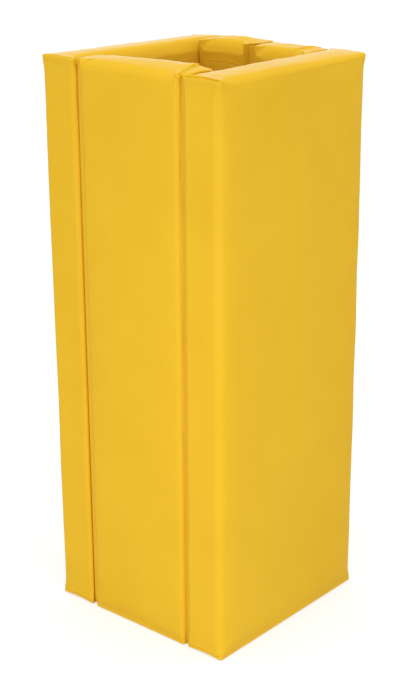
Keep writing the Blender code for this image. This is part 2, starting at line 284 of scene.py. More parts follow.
def rim_sizes(outline, rims):
    """(along, down) rim half-widths of each outline point."""
    u = outline.flat[:, 0]
    way = np.clip(u / outline.width, 0.0, 1.0)
    outer = np.outer(1 - way, rims.near) + np.outer(way, rims.far)
    full = np.where(outline.inner_side[:, None], rims.inner, outer)
    share = np.where(outline.outer | outline.inner_side, 1.0, 0.0)
    for along, fade in ((u, rims.near_fade), (outline.width - u, rims.far_fade)):
        fades = np.where(outline.inner_side, INNER_FADE, fade)
        share *= smooth(along / fades, FADE_START, 1.0)
    return np.outer(1 - share, END_RIM) + full * share[:, None]


def padded_grid(outline, rims, tilt):
    """Rings of points from the middle of the bottom to that of the top, then both spines."""
    along, drop = rim_sizes(outline, rims).T
    low, lift = LOW_RIM
    arc, low_arc = QUARTER_TURN * (along + drop) / 2, QUARTER_TURN * (low + lift) / 2
    start, end = lift, FORM_TOP - drop
    nothing = np.zeros(outline.count)
    spine = np.column_stack([outline.spine, np.full(len(outline.spine), FORM_DEPTH / 2)])
    foot = spine[outline.foot]
    rings = []

    def flat_at(extra, z):
        sharp = smooth(np.minimum(z, FORM_TOP - z), 0.0, SHARP_REACH)
        return outline.at(START_INSET + extra, SHARP_LEAST + (1 - SHARP_LEAST) * sharp)

    def ring(flat, z, up, down):
        columns = [flat, z + nothing, outline.near, outline.far, up + nothing, down + nothing]
        rings.append(np.column_stack(columns))

    top_edge, bottom_edge = flat_at(along, FORM_TOP), flat_at(low, 0.0)
    reach, low_reach = (np.linalg.norm(foot - edge, axis=1) for edge in (top_edge, bottom_edge))
    for k in range(1, CAP_RINGS):
        share = k / CAP_RINGS
        flat = foot + (bottom_edge - foot) * share
        ring(flat, 0.0, -PAD_HEIGHT, low_arc + low_reach * (1 - share))
    for k in range(LOW_RINGS + 1):
        angle = QUARTER_TURN * (1 - k / LOW_RINGS)
        z = lift * (1 - math.sin(angle))
        flat = flat_at(low * (1 - math.cos(angle)), z)
        ring(flat, z, -PAD_HEIGHT, low_arc * (1 - k / LOW_RINGS))
    for share in graded(PAD_HEIGHT, WALL_FINE, WALL_COARSE):
        z = start + (end - start) * share
        ring(flat_at(0.0, z), z, z - end, start - z)
    for k in range(TOP_RINGS + 1):
        angle = QUARTER_TURN * k / TOP_RINGS
        z = end + drop * math.sin(angle)
        flat = flat_at(along * (1 - math.cos(angle)), z)
        ring(flat, z, arc * k / TOP_RINGS, -PAD_HEIGHT)
    for k in range(1, CAP_RINGS):
        share = k / CAP_RINGS
        flat = top_edge + (foot - top_edge) * share
        ring(flat, FORM_TOP, arc + reach * share, -PAD_HEIGHT)
    faces = grid_faces(outline, len(rings))
    beyond = np.full((len(spine), len(Surface._fields)), FAR_AWAY)
    for z in (0.0, FORM_TOP):
        rings.append(np.column_stack([spine, np.full(len(spine), z), beyond]))
    table = np.concatenate(rings)
    points = table[:, :3]
    raise_top(points, outline.width, tilt)
    return points, faces, Surface(*table[:, 3:].T)


def raise_top(points, width, tilt):
    """Crown the top across the panel, and tilt it up towards the inner face."""
    u, v, z = points.T
    across = np.clip(v / FORM_DEPTH, 0.0, 1.0)
    full = CROWN_AT_END + (1 - CROWN_AT_END) * smooth(np.minimum(u, width - u), 0.0, CROWN_REACH)
    crown = TOP_CROWN * (1 - (2 * across - 1) ** 2) * full
    slant = tilt * smooth(across, *TILT_ACROSS) * smooth(u, *NEAR_TILT) * smooth(width - u, *FAR_TILT)
    z += smooth(z, FORM_TOP - TOP_BLEND, FORM_TOP) * (crown + slant)


def numbered(count, ring_count, first=0):
    """The point numbers of rings of count points each."""
    return [list(range(first + k * count, first + (k + 1) * count)) for k in range(ring_count)]


def tube(rings):
    """Quads between closed rings of point numbers that follow each other."""
    faces = []
    for low, high in zip(rings[:-1], rings[1:]):
        faces += zip(low, low[1:] + low[:1], high[1:] + high[:1], high)
    return faces


def closed_tube(rings):
    return tube(rings) + [rings[0][::-1], rings[-1]]


def grid_faces(outline, ring_count):
    """Quads between the rings, and the faces that join the first and last ring to a spine."""
    rings = numbered(outline.count, ring_count)
    faces = tube(rings)
    spine = ring_count * outline.count
    feet = [int(foot) for foot in outline.foot]
    for ring in (rings[0], rings[-1]):
        for i, j, here, after in zip(ring, ring[1:] + ring[:1], feet, feet[1:] + feet[:1]):
            step = 1 if here >= after else -1
            faces.append((i, j, *range(spine + after, spine + here + step, step)))
        spine += len(outline.spine)
    return faces


# Meshes


def add_object(name, data):
    obj = bpy.data.objects.new(name, data)
    bpy.context.scene.collection.objects.link(obj)
    return obj


def new_object(name, points, faces, material):
    mesh = bpy.data.meshes.new(name)
    mesh.from_pydata([tuple(p) for p in points], [], faces)
    mesh.validate()
    mesh.shade_smooth()
    mesh.materials.append(material)
    return add_object(name, mesh)


def face_outwards(obj):
    bm = bmesh.new()
    bm.from_mesh(obj.data)
    bmesh.ops.recalc_face_normals(bm, faces=bm.faces)
    bm.to_mesh(obj.data)
    bm.free()


def vectors_of(vertices, name):
    values = np.empty(len(vertices) * 3)
    vertices.foreach_get(name, values)
    return values.reshape(-1, 3)


def points_of(obj):
    return vectors_of(obj.data.vertices, "co")


def normals_of(obj):
    return vectors_of(obj.data.vertices, "normal")


def set_points(obj, points):
    obj.data.vertices.foreach_set("co", np.ascontiguousarray(points, dtype=np.float32).ravel())
    obj.data.update()


def push_out(obj, lift):
    """Move each point along its normal."""
    set_points(obj, points_of(obj) + normals_of(obj) * lift[:, None])


# Panels. A panel's own axes are u, v and Z, and its angle turns them into the world's. A panel
# that butts has a neighbour at both ends.


Panel = namedtuple("Panel", "name corners width origin angle butts")

FRONT = panel_corners(rebated_end(), rebated_end(), FRONT_WIDTH)
LEFT = panel_corners(square_end(SIDE_ROUND), square_end(SIDE_ROUND, LEFT_BACK_ROUND), SIDE_WIDTH)
RIGHT = panel_corners(square_end(FRONT_ROUND), square_end(SIDE_ROUND), SIDE_WIDTH)
REAR_LEFT = panel_corners(free_end(LEFT_HALF), rebated_end(), LEAF_WIDTH)
REAR_RIGHT = panel_corners(rebated_end(), free_end(RIGHT_HALF), LEAF_WIDTH)
FREE_ENDS = {"rear_left": LEFT_HALF, "rear_right": RIGHT_HALF}

PANELS = (
    Panel("front", FRONT, FRONT_WIDTH, (-FRONT_WIDTH / 2, -OUTER_FACE), 0.0, True),
    Panel("left", LEFT, SIDE_WIDTH, (-OUTER_FACE, OUTER_FACE), -QUARTER_TURN, False),
    Panel("right", RIGHT, SIDE_WIDTH, (OUTER_FACE, -OUTER_FACE), QUARTER_TURN, False),
    Panel("rear_left", REAR_LEFT, LEAF_WIDTH, (-LEAF_START, OUTER_FACE), HALF_TURN, True),
    Panel("rear_right", REAR_RIGHT, LEAF_WIDTH, (LEAF_START + LEAF_WIDTH, OUTER_FACE), HALF_TURN,
          True),
)


def to_world(panel, points):
    cos, sin = math.cos(panel.angle), math.sin(panel.angle)
    x = points[..., 0] * cos - points[..., 1] * sin + panel.origin[0]
    y = points[..., 0] * sin + points[..., 1] * cos + panel.origin[1]
    return np.stack([x, y, points[..., 2]], axis=-1)


def to_local(panel, points):
    cos, sin = math.cos(panel.angle), math.sin(panel.angle)
    x, y = points[..., 0] - panel.origin[0], points[..., 1] - panel.origin[1]
    return np.stack([x * cos + y * sin, y * cos - x * sin, points[..., 2]], axis=-1)


def from_ends(panel, u):
    """How far each point is from the nearer end of its panel."""
    return np.minimum(u, panel.width - u)


# Foam pressure: a cloth copy of each cushion is blown up, and its movement is given back


SWELL_VOXEL, SWELL_FRAMES, SWELL_PRESSURE, SWELL_CAP = 0.0065, 20, 4.0, 0.0030
SWELL_NEIGHBOURS, NEIGHBOUR_BLUR = 8, 4e-6
CLOTH_QUALITY = 4
CLOTH_MASS, CLOTH_TENSION, CLOTH_BENDING = 0.3, 15, 1.5
FOAM_HOLD = 0.15
BUTT_BULGE = 0.0007


def soften(obj):
    """A cloth copy of a cushion, ready to be blown up."""
    copy = add_object(obj.name + ".cloth", obj.data.copy())
    remesh = copy.modifiers.new("remesh", "REMESH")
    remesh.mode = "VOXEL"
    remesh.voxel_size = SWELL_VOXEL
    bpy.context.view_layer.update()
    even = copy.evaluated_get(bpy.context.evaluated_depsgraph_get())
    fresh = bpy.data.meshes.new_from_object(even)
    copy.modifiers.remove(remesh)
    copy.data = fresh
    cloth = copy.modifiers.new("cloth", "CLOTH")
    cloth.point_cache.frame_start = 1
    cloth.point_cache.frame_end = SWELL_FRAMES
    settings = cloth.settings
    settings.quality = CLOTH_QUALITY
    settings.use_pressure = True
    settings.uniform_pressure_force = SWELL_PRESSURE
    settings.effector_weights.gravity = 0.0
    settings.mass = CLOTH_MASS
    settings.tension_stiffness = CLOTH_TENSION
    settings.bending_stiffness = CLOTH_BENDING
    return copy


def swell(cushions):
    """Simulate all the cushions together and move each one's points with its cloth."""
    copies = [soften(obj) for obj in cushions]
    rest = [points_of(copy) for copy in copies]
    scene = bpy.context.scene
    for number in range(1, SWELL_FRAMES + 1):
        scene.frame_set(number)
    for panel, obj, copy, before in zip(PANELS, cushions, copies, rest):
        blown = copy.evaluated_get(bpy.context.evaluated_depsgraph_get())
        moved = points_of(blown) - before
        length = np.linalg.norm(moved, axis=1, keepdims=True)
        moved *= SWELL_CAP * np.tanh(length / SWELL_CAP) / np.maximum(length, TINY)
        points = points_of(obj)
        shift, normals = nearby_mean(points, before, moved), normals_of(obj)
        inward = np.minimum((shift * normals).sum(axis=1, keepdims=True), 0.0)
        points += shift - (1 - FOAM_HOLD) * inward * normals
        set_points(obj, settled(points, panel))
    scene.frame_set(1)
    for copy in copies:
        mesh = copy.data
        bpy.data.objects.remove(copy, do_unlink=True)
        bpy.data.meshes.remove(mesh)


def nearby_mean(points, places, values):
    """At each point, the mean of the values at the places nearest to it, weighted by nearness."""
    tree = KDTree(len(places))
    for i, place in enumerate(places):
        tree.insert(place, i)
    tree.balance()
    means = np.zeros_like(points)
    for i, point in enumerate(points):
        found = tree.find_n(point, SWELL_NEIGHBOURS)
        weights = np.array([1 / (distance**2 + NEIGHBOUR_BLUR) for _, _, distance in found])
        means[i] = weights @ values[[j for _, j, _ in found]] / weights.sum()
    return means


def settled(points, panel):
    """Flat where the cushion rests on the floor or column, and clear of its neighbours."""
    local = to_local(panel, points)
    u, v, z = local.T
    z[:] = np.maximum(z, 0.0)
    v[:] = np.minimum(v, FORM_DEPTH)
    if panel.butts:
        u[:] = np.clip(u, -BUTT_BULGE, panel.width + BUTT_BULGE)
    return to_world(panel, local)


# Ripples: broad unevenness of the foam, and finer ripples where the vinyl turns over an end


Ripple = namedtuple("Ripple", "seed count length height")
BROAD = Ripple(0, 14, 0.16, 0.00050)
TOP_FINE = Ripple(50, 22, 0.034, 0.00026)
LOW_FINE = Ripple(90, 22, 0.034, 0.00026 * 0.4)
LENGTH_SPREAD = (0.7, 1.5)
RIPPLE_TOP = (PAD_HEIGHT - 0.075, PAD_HEIGHT - 0.015)
RIPPLE_FLOOR = (0.0, 0.012)
RIPPLE_BACK = (0.0, 0.004)


def waves(points, seed, kind):
    """A smooth random height at each point: a sum of waves of about the kind's length."""
    random = np.random.default_rng(seed + kind.seed)
    total = np.zeros(len(points))
    for _ in range(kind.count):
        way = unit(random.normal(size=3))
        way *= 2 * math.pi / (kind.length * random.uniform(*LENGTH_SPREAD))
        total += np.sin(points @ way + random.uniform(0, 2 * math.pi))
    return total * kind.height / math.sqrt(kind.count)


def ripple(obj, panel, seed):
    points = points_of(obj)
    _, v, z = to_local(panel, points).T
    near_top, off_floor = smooth(z, *RIPPLE_TOP), smooth(z, *RIPPLE_FLOOR)
    free = smooth(FORM_DEPTH - v, *RIPPLE_BACK)
    lift = waves(points, seed, BROAD) * off_floor
    lift += waves(points, seed, TOP_FINE) * near_top
    lift += waves(points, seed, LOW_FINE) * off_floor
    push_out(obj, lift * np.maximum(free, near_top * (1 - free)))


# Folds: at each end the vinyl is wrapped like a parcel. A fold is a crease along a path, in
# metres round the end and up over the rim, with a lip above it and a tucked flap below.


Fold = namedtuple("Fold", "end edge path depth width lip reach flap drop")
PATH_FADE = 0.12
GATHER_HEIGHTS = (-0.0010, -0.0052, -0.0090)

# The puckers of an end, as (edge, start, stop, depth)
PUCKERS = (
    ("up", (0.0005, 0.001), (0.006, -0.009), 0.0012),
    ("up", (-0.004, 0.001), (-0.006, -0.010), 0.0009),
    ("up", (0.071, 0.000), (0.067, -0.010), 0.0010),
    ("down", (0.001, -0.002), (0.012, -0.014), 0.0012),
    ("down", (0.008, -0.001), (0.020, -0.012), 0.0009),
    ("down", (-0.004, -0.003), (-0.022, -0.011), 0.0010),
)


def path_distance(x, y, path):
    """Distance to a path, positive on its left, and the share of the path that is passed."""
    best = np.full(x.shape, FAR_AWAY)
    signed, share = best.copy(), np.zeros(x.shape)
    lengths = [math.dist(path[i], path[i + 1]) for i in range(len(path) - 1)]
    total, passed = sum(lengths), 0.0
    for (ax, ay), (bx, by), length in zip(path[:-1], path[1:], lengths):
        dx, dy = (bx - ax) / length, (by - ay) / length
        t = np.clip((x - ax) * dx + (y - ay) * dy, 0.0, length)
        ox, oy = x - (ax + dx * t), y - (ay + dy * t)
        distance = np.hypot(ox, oy)
        side = np.where(dx * oy - dy * ox >= 0, 1.0, -1.0)
        closer = distance < best
        best = np.where(closer, distance, best)
        signed = np.where(closer, distance * side, signed)
        share = np.where(closer, (passed + t) / total, share)
        passed += length
    return signed, share


def fold(obj, surface, folds):
    lift = np.zeros(len(surface.up))
    for f in folds:
        signed, share = path_distance(getattr(surface, f.end), getattr(surface, f.edge), f.path)
        distance = np.abs(signed)
        fade = smooth(share, 0.0, PATH_FADE) * smooth(1 - share, 0.0, PATH_FADE)
        lip = f.lip * np.exp(-distance / f.reach) * (signed > 0)
        flap = f.flap * bell(distance - f.drop, f.drop) * (signed <= 0)
        lift += fade * (lip + flap - f.depth * bell(distance, f.width))
    push_out(obj, lift)


def parcel_crease(end, lip, depth, high):
    """The crease across the end of a panel's top, from its outer to its inner corner."""
    path = ((0.0040, high - 0.0014), (0.012, high), (0.045, high + 0.0008), (0.073, high - 0.0006))
    return Fold(end, "up", path, depth, 0.0010, lip, 0.0032, 0.0013, 0.0045)


def low_crease(end):
    path = ((0.004, -0.003), (0.020, -0.001), (0.060, -0.001), (0.072, -0.003))
    return Fold(end, "down", path, 0.0016, 0.0011, 0.0, 0.004, 0.0008, 0.004)


def pucker(end, edge, start, stop, depth):
    """A short dent where the wrapped vinyl gathers at a corner."""
    return Fold(end, edge, (start, stop), depth, 0.0011, 0.0004, 0.002, 0.0004, 0.002)


def end_folds(end, lip=0.0010, depth=0.0030, high=0.0004):
    """All the folds of one end, at its top and its bottom."""
    puckers = [pucker(end, *row) for row in PUCKERS]
    return [parcel_crease(end, lip, depth, high), low_crease(end), *puckers]


def back_gathers(end):
    """Dents one under the other, where the cover meets the web behind a side panel's end."""
    return [pucker(end, "up", (0.069, z), (0.086, z - 0.0012), 0.0012) for z in GATHER_HEIGHTS]


FOLDS = {
    "front": end_folds("near", 0.0006, 0.0018) + end_folds("far", 0.0014),
    "left": end_folds("near") + end_folds("far", 0.0008, 0.0022, 0.0026),
    "right": end_folds("near", 0.0010, 0.0046, 0.0024) + end_folds("far", 0.0008, 0.0020),
    "rear_left": end_folds("near", 0.0014) + end_folds("far"),
    "rear_right": end_folds("near", 0.0014) + end_folds("far"),
}
for name in ("left", "right"):
    FOLDS[name] += back_gathers("near") + back_gathers("far")


# Flaps: the tucked end of a panel's top, lower than the rest beyond a slanting lip. The path is
# in metres from the end and from the outer face.


Flap = namedtuple("Flap", "end path rise reach cut drop")
FLAP_EDGE = 0.0017
FLAP_TOP = (PAD_HEIGHT - 0.019, PAD_HEIGHT - 0.005)
FLAP_LEAST = 0.35
FRONT_FAR_LIP = ((0.0125, -0.002), (0.017, 0.020), (0.028, 0.077))
FLAPS = {
    "front": [Flap("far", FRONT_FAR_LIP, 0.0032, 0.010, 0.0022, 0.0005),
              Flap("near", ((0.014, -0.002), (0.030, 0.077)), 0.0006, 0.006, 0.0, 0.0010)],
    "rear_left": [Flap("far", ((0.016, -0.002), (0.027, 0.077)), 0.0006, 0.008, 0.0006, 0.0006)],
    "rear_right": [Flap("near", ((0.016, -0.002), (0.040, 0.077)), 0.0016, 0.008, 0.0016, 0.0010)],
}


def tuck(obj, panel, flaps):
    local = to_local(panel, points_of(obj))
    u, v, z = local.T
    on_top = smooth(z, *FLAP_TOP)
    for f in flaps:
        signed, share = path_distance(u if f.end == "near" else panel.width - u, v, f.path)
        distance, inside = np.abs(signed), signed < 0
        strength = FLAP_LEAST + (1 - FLAP_LEAST) * share
        lip = f.rise * strength * np.exp(-distance / f.reach) * inside
        beyond = smooth(distance, 0.0, FLAP_EDGE) * ~inside
        hollow = f.cut * bell(distance - FLAP_EDGE, FLAP_EDGE) * ~inside
        z += on_top * (lip - strength * f.drop * beyond - hollow)
    set_points(obj, to_world(panel, local))


# The real pad isn't quite square: its left face leans out, its side panels bulge into the corner
# grooves, and its top is higher at one corner than at another. A panel's values are at the floor
# and at the top.


OUTWARD = {"left": (0.0008, 0.0040), "right": (-0.0004, -0.0006)}
OFFSET_PLACES = (-OUTER_FACE, -0.0500, 0.0100, OUTER_FACE)
REAR_OFFSETS = (-0.0068, 0.0028, -0.0012, -0.0032)
FRONT_OFFSETS = (0.0047, 0.0044, 0.0026, 0.0014)
GROOVE_BULGE = {"left": (0.0024, -0.0016), "right": (0.0040, 0.0028)}
LEAST_BULGE = -0.0010
BULGE_ACROSS, BULGE_END = (0.030, 0.068), (0.0045, 0.0080)
END_BOW, BOW_HEIGHT, BOW_REACH = 0.0026, 0.022, 0.007
SEAT = 0.0002


def top_offset(x, y, z):
    """How much a point is raised: all of the top's offset at the top, and nothing at the floor."""
    rear, front = (np.interp(x, OFFSET_PLACES, row) for row in (REAR_OFFSETS, FRONT_OFFSETS))
    way = np.clip((y + OUTER_FACE) / (2 * OUTER_FACE), 0.0, 1.0)
    return (front + (rear - front) * way) * smooth(z / PAD_HEIGHT, 0.0, 1.0)


def fill_grooves(local, panel):
    """The side panels bulge into the corner grooves, and bow up under their narrow ends."""
    u, v, z = local.T
    from_end = from_ends(panel, u)
    low, high = GROOVE_BULGE[panel.name]
    bulge = np.maximum(low + (high - low) * z / PAD_HEIGHT, LEAST_BULGE)
    v += bulge * smooth(v, *BULGE_ACROSS) * (1 - smooth(from_end, *BULGE_END))
    across = np.sin(math.pi * np.clip(v / FORM_DEPTH, 0.0, 1.0))
    near_floor = 1 - smooth(z, 0.0, BOW_HEIGHT)
    z += END_BOW * across * near_floor * np.exp(-np.maximum(from_end, 0.0) / BOW_REACH)


def slope_point(half, depth, off):
    """A point beside the slope of a half's free end, off metres clear of it.

    depth is metres from the column.
    """
    run, fall = SLOPES[half], FORM_DEPTH - NOSE_DEPTH
    length = math.hypot(run, fall)
    x = LEAF_START + run * (1 - depth / fall) - off * fall / length
    return (x * half, COVER_INNER_FACE + depth - off * run / length)


def flatten_seat(points, half):
    """Keep a half's free end behind the flat slope that the strip and the tapes are sewn to."""
    start = np.array(slope_point(half, 0.0, 0.0))
    outwards = np.array(slope_point(half, 0.0, 1.0)) - start
    proud = np.maximum((points[:, :2] - start) @ outwards + SEAT, 0.0)
    points[:, :2] -= proud[:, None] * outwards
    return points


def lean(points, panel):
    if panel.name in FREE_ENDS:
        points = flatten_seat(points, FREE_ENDS[panel.name])
    local = to_local(panel, points)
    if panel.name in GROOVE_BULGE:
        fill_grooves(local, panel)
    _, v, z = local.T
    low, high = OUTWARD.get(panel.name, (0.0, 0.0))
    v -= (low + (high - low) * z / PAD_HEIGHT) * (1 - np.clip(v / FORM_DEPTH, 0.0, 1.0))
    z += top_offset(points[:, 0], points[:, 1], z)
    return to_world(panel, local)


# Materials. Texture scales are in repeats per metre, and depths in metres.


VINYL_SHADES = ((0.815, 0.487, 0.026, 1), (0.855, 0.518, 0.030, 1))
SHADE_ENDS = (0.3, 0.7)
CLOUD_SCALE, GRAIN_SCALE = 7.0, 900.0
GRAIN_STRENGTH, GRAIN_DEPTH = 0.06, 0.0004
WAVE_BAND = 0.31  # between the bands of Blender's wave texture at scale 1
WEAVE_UNEVENNESS, WEAVE_STRENGTH = 0.6, 0.35
TAPE_SHADES = ((0.030, 0.030, 0.032, 1), (0.008, 0.008, 0.009, 1))
LOOP_SCALE, LOOP_STRENGTH, LOOP_DEPTH = 1400.0, 0.8, 0.0006


def node(tree, kind, inputs=(), **settings):
    made = tree.nodes.new(kind)
    for name, value in settings.items():
        setattr(made, name, value)
    set_inputs(made, dict(inputs))
    return made


def set_inputs(made, values):
    for name, value in values.items():
        made.inputs[name].default_value = value


def new_material(name):
    """A material with its nodes and its shader."""
    material = bpy.data.materials.new(name)
    material.use_nodes = True
    return material, material.node_tree, material.node_tree.nodes["Principled BSDF"]


def texture(tree, kind, inputs, **settings):
    """A texture in the object's own coordinates."""
    made, place = node(tree, kind, inputs, **settings), node(tree, "ShaderNodeTexCoord")
    tree.links.new(place.outputs["Object"], made.inputs["Vector"])
    return made


def colour_by(tree, shader, share, shades, ends=(0.0, 1.0)):
    ramp = node(tree, "ShaderNodeValToRGB")
    for element, shade, position in zip(ramp.color_ramp.elements, shades, ends):
        element.position = position
        element.color = shade
    tree.links.new(share, ramp.inputs["Fac"])
    tree.links.new(ramp.outputs["Color"], shader.inputs["Base Color"])


def bump_by(tree, shader, height, strength, distance):
    bump = node(tree, "ShaderNodeBump", {"Strength": strength, "Distance": distance})
    tree.links.new(height, bump.inputs["Height"])
    tree.links.new(bump.outputs["Normal"], shader.inputs["Normal"])


def vinyl_material():
    material, tree, shader = new_material("yellow_vinyl_look")
    cloud = texture(tree, "ShaderNodeTexNoise", {"Scale": CLOUD_SCALE, "Detail": 3.0})
    colour_by(tree, shader, cloud.outputs["Fac"], VINYL_SHADES, SHADE_ENDS)
    grain = texture(tree, "ShaderNodeTexNoise", {"Scale": GRAIN_SCALE, "Detail": 2.0})
    bump_by(tree, shader, grain.outputs["Fac"], GRAIN_STRENGTH, GRAIN_DEPTH)
    set_inputs(shader, {"Roughness": 0.15, "IOR": 1.5, "Specular IOR Level": 0.024})
    return material


def woven_material(name, colour, pitch, depth, roughness, shine):
    """Plain colour with fine ridges a pitch apart in two directions."""
    material, tree, shader = new_material(name)
    both = node(tree, "ShaderNodeMath", operation="ADD")
    wave = {"Scale": WAVE_BAND / pitch, "Distortion": WEAVE_UNEVENNESS}
    for way, socket in zip(("Z", "DIAGONAL"), both.inputs):
        ridges = texture(tree, "ShaderNodeTexWave", wave, bands_direction=way)
        tree.links.new(ridges.outputs["Fac"], socket)
    bump_by(tree, shader, both.outputs[0], WEAVE_STRENGTH, depth)
    set_inputs(shader, {"Base Color": colour, "Roughness": roughness, "Specular IOR Level": shine})
    return material


def tape_material():
    material, tree, shader = new_material("hook_and_loop_look")
    loops = texture(tree, "ShaderNodeTexVoronoi", {"Scale": LOOP_SCALE}).outputs["Distance"]
    colour_by(tree, shader, loops, TAPE_SHADES)
    bump_by(tree, shader, loops, LOOP_STRENGTH, LOOP_DEPTH)
    set_inputs(shader, {"Roughness": 0.85})
    return material


VINYL = vinyl_material()
WEB_VINYL = woven_material("web_vinyl_look", (0.855, 0.520, 0.031, 1), 0.0006, 0.00010, 0.34, 0.06)
LINING_VINYL = woven_material("lining_look", (0.850, 0.512, 0.030, 1), 0.0007, 0.00012, 0.42, 0.06)
THREAD = woven_material("thread_look", (0.900, 0.600, 0.060, 1), 0.0005, 0.0001, 0.55, 0.20)
TAPE = tape_material()


# Cushions: each stands for a panel's cover and foam core


def make_cushion(panel):
    """A panel's cushion, and where its points are on its surface."""
    outline, tilt = Outline(panel.corners, panel.width), TOP_TILTS.get(panel.name, 0.0)
    points, faces, surface = padded_grid(outline, RIMS[panel.name], tilt)
    obj = new_object(panel.name + "_cushion", to_world(panel, points), faces, VINYL)
    face_outwards(obj)
    return obj, surface


def make_cushions():
    made = [make_cushion(panel) for panel in PANELS]
    cushions = [obj for obj, _ in made]
    swell(cushions)
    for seed, (panel, (cushion, surface)) in enumerate(zip(PANELS, made)):
        ripple(cushion, panel, seed)
        fold(cushion, surface, FOLDS[panel.name])
        tuck(cushion, panel, FLAPS.get(panel.name, []))
        set_points(cushion, lean(points_of(cushion), panel))
        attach(cushion, panel.name + "_panel")
        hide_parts(panel.name + "_cover", panel.name + "_foam_core")


# Strips: webs, closing strip and tapes, drawn in plan and run up the pad


STRIP_STEP = 0.0012
STRIP_SHARP = math.radians(50)
RISE_FINE, RISE_COARSE, RISE_REACH = 0.0009, 0.022, 0.016


def along_path(path):
    """Points of a plan path, no further than a step apart."""
    points = [np.array(path[0])]
    for start, end in zip(path[:-1], path[1:]):
        parts = max(math.ceil(math.dist(start, end) / STRIP_STEP), 1)
        points += [start + np.subtract(end, start) * k / parts for k in range(1, parts + 1)]
    return np.array(points)


def run_along(line):
    """How far each point is along a line."""
    return np.concatenate([[0], np.cumsum(np.linalg.norm(np.diff(line, axis=0), axis=1))])


def rounded_path(path, radius, steps=5):
    """The path with its corners rounded."""
    path = np.array(path)
    points = [path[0]]
    for before, here, after in zip(path[:-2], path[1:-1], path[2:]):
        way_in, way_out = unit(here - before), unit(after - here)
        turn = math.acos(float(np.clip(way_in @ way_out, -1, 1)))
        cut = radius * math.tan(turn / 2)
        start, end = here - way_in * cut, here + way_out * cut
        for k in range(steps + 1):
            t = k / steps
            points.append((1 - t) ** 2 * start + 2 * t * (1 - t) * here + t**2 * end)
    points.append(path[-1])
    return points


def rise(low, high):
    """Levels from low to high, fine near the top."""
    count = max(int((high - RISE_REACH - low) / RISE_COARSE), 2)
    body = list(np.linspace(low, high - RISE_REACH, count))
    return body + list(np.linspace(high - RISE_REACH, high, int(RISE_REACH / RISE_FINE)))[1:]


def strip(name, path, thickness, levels, material, relief=None):
    """A strip of even thickness on a plan path. relief(share, level) moves it along its normal."""
    line = along_path(path)
    normals = left_of(unit(np.gradient(line, axis=0)))
    run, count = run_along(line), len(line)
    sheets = []
    for level in levels:
        lift = relief(run / run[-1], level) if relief else np.zeros(count)
        for side in (-0.5, 0.5):
            flat = line + normals * (lift + side * thickness)[:, None]
            sheets.append(np.insert(flat, 2, level, axis=1))
    points = np.concatenate(sheets)
    x, y, z = points.T
    z += top_offset(x, y, z)
    obj = new_object(name, points, strip_faces(count, len(levels)), material)
    face_outwards(obj)
    obj.data.set_sharp_from_angle(angle=STRIP_SHARP)
    return obj


def strip_faces(count, level_count):
    """Faces of a strip whose levels each hold count points of one side, then of the other."""
    lines = numbered(count, 2 * level_count)
    rings = [one + other[::-1] for one, other in zip(lines[::2], lines[1::2])]
    faces = tube(rings)
    for one, other in (lines[1::-1], lines[-2:]):
        faces += zip(one, one[1:], other[1:], other)
    return faces


# Webs: each lines the floor of a corner groove and turns in behind the side panel

# depth is the floor's below the outer face, and low is the height of the lower end
Web = namedtuple("Web", "name x_side y_side depth low seed")
WEBS = (
    Web("front_left_web", -1, -1, 0.0064, 0.0080, 3),
    Web("front_right_web", 1, -1, 0.0080, 0.0008, 5),
    Web("rear_left_web", -1, 1, 0.0080, 0.0080, 8),
    Web("rear_right_web", 1, 1, 0.0080, 0.0080, 9),
)
WEB_THICKNESS = 0.0009
WEB_FIT = 0.0003
WEB_LEG = 0.014
WEB_HIGH = PAD_HEIGHT - 0.0022
WEB_RISE = 0.0030
WEB_ROUND = 0.0045
WEB_FLOOR_START = 0.5

# The small folds of a web's gathered top, as (how far below the top, width, height)
GATHERS = ((0.0022, 0.0013, 0.0017), (0.0078, 0.0012, 0.0011), (0.0118, 0.0013, 0.0006))
GATHER_SHAKE = 0.0006
GATHER_SLANT = 0.0015


def gathered_top(strength, seed):
    """Relief of a web whose hemmed top is gathered into small folds between the panels."""
    random = np.random.default_rng(seed)
    offsets = random.uniform(-GATHER_SHAKE, GATHER_SHAKE, len(GATHERS))

    def relief(share, level):
        middle = np.sin(np.pi * np.clip((share - WEB_FLOOR_START) / (1 - WEB_FLOOR_START), 0, 1))
        lift = np.zeros_like(share)
        for (below, width, height), offset in zip(GATHERS, offsets):
            centre = WEB_HIGH - below - offset + GATHER_SLANT * (share - 0.5)
            lift += height * bell(level - centre, width)
        return -strength * lift * middle**0.5

    return relief


def make_web(web):
    wall = COVER_INNER_FACE - WEB_THICKNESS / 2 - WEB_FIT
    floor = OUTER_FACE - web.depth - WEB_THICKNESS / 2
    far = COVER_INNER_FACE - BUTT_GAP - REBATE_WIDTH
    path = [(wall, floor - WEB_LEG), (wall, floor), (far + WEB_RISE, floor), (far, floor + WEB_RISE)]
    path = rounded_path([(x * web.x_side, y * web.y_side) for x, y in path], WEB_ROUND)
    relief = gathered_top(-web.x_side * web.y_side, web.seed)
    obj = strip(web.name + "_vinyl", path, WEB_THICKNESS, rise(web.low, WEB_HIGH), WEB_VINYL, relief)
    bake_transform(obj)
    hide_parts(web.name)


# Closure at the middle of the rear side: the tapes lie on the right half's slope, under a strip
# that is sewn to the left half's


STRIP_RECESS = 0.0085
STRIP_REACH = 0.0150
STRIP_LIP = 0.0030
STRIP_STEP_IN = 0.002
STRIP_STAND = 0.0006
STRIP_ROUND = 0.0008
STRIP_THICKNESS = 0.0009
STRIP_BOTTOM, STRIP_TOP = 0.008, PAD_HEIGHT - 0.0060
TAPE_WIDTH = 0.0100
TAPE_THICKNESS = 0.0010
TAPE_MARGIN = 0.020
TAPE_FIT = 0.0002


